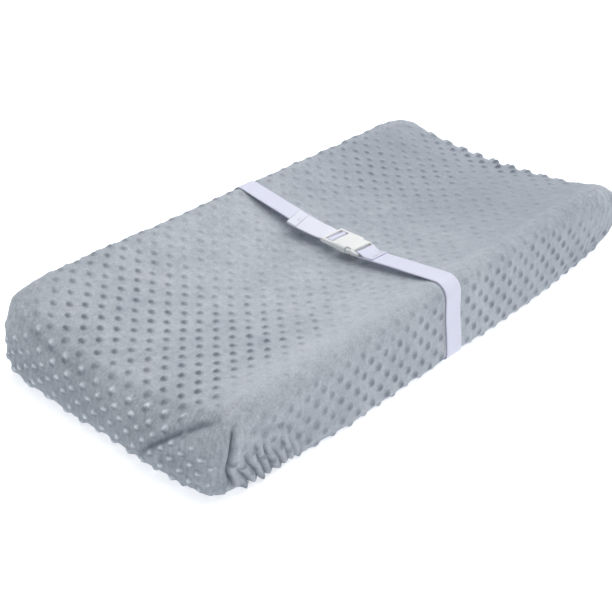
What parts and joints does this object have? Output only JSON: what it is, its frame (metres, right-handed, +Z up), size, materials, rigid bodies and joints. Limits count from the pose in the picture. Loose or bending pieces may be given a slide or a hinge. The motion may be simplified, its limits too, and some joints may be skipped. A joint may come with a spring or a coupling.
{
  "type": "changing pad",
  "caption": "Contoured foam changing pad in a fitted raised-dot plush cover, with a webbing safety strap and side-release buckle across its middle.",
  "frame": {"origin": "middle of the underside, on the surface that the pad rests on", "axes": "+X along the pad's length, +Y towards the long side with the strap's adjustable half, +Z up"},
  "size_m": [0.813, 0.4094, 0.1117],
  "materials": {
    "foam": "open-cell polyurethane foam",
    "vinyl": "waterproof vinyl film on a knit backing",
    "base_sheet": "non-slip vinyl with small raised grip points",
    "plush": "short-pile polyester plush with raised dots",
    "elastic": "braided elastic tape",
    "webbing": "white polypropylene webbing",
    "thread": "white polyester sewing thread",
    "buckle_plastic": "moulded white acetal, satin"
  },
  "bodies": {
    "pad": {"foam_core": "foam", "vinyl_shell": "vinyl", "base_panel": "base_sheet", "base_binding": "vinyl", "plush_cover": "plush", "hem_casing": "plush", "hem_elastic": "elastic", "near_webbing": "webbing", "near_fold_stitching": "thread", "far_webbing": "webbing", "near_anchor_patch": "vinyl", "near_anchor_stitching": "thread", "far_anchor_patch": "vinyl", "far_anchor_stitching": "thread", "buckle_receiver": "buckle_plastic"},
    "plug": {"buckle_plug": "buckle_plastic", "adjuster_loop": "webbing"},
    "arm_left": {"plug_arm_left": "buckle_plastic"},
    "arm_right": {"plug_arm_right": "buckle_plastic"},
    "tail": {"strap_tail": "webbing", "tail_hem_stitching": "thread"}
  },
  "joints": [
    {"name": "plug_release", "type": "slide", "parent": "pad", "child": "plug", "axis": [0.0604, 0.9982, 0], "range_m": [0, 0.03], "deforming": ["far_webbing", "plug_arm_left", "plug_arm_right"]},
    {"name": "arm_squeeze_left", "type": "hinge", "parent": "plug", "child": "arm_left", "pos_m": [-0.00364, -0.01182, 0.0955], "axis": [0, 0, 1], "range_deg": [0, 10], "stiffness_Nm_per_rad": 0.3},
    {"name": "arm_squeeze_right", "type": "hinge", "parent": "plug", "child": "arm_right", "pos_m": [0.01912, -0.0132, 0.0955], "axis": [0, 0, -1], "range_deg": [0, 10], "stiffness_Nm_per_rad": 0.3},
    {"name": "tail_pull", "type": "slide", "parent": "plug", "child": "tail", "axis": [0.0601, 0.9925, 0.1067], "range_m": [-0.028, 0.04], "deforming": ["strap_tail", "tail_hem_stitching"]}
  ]
}
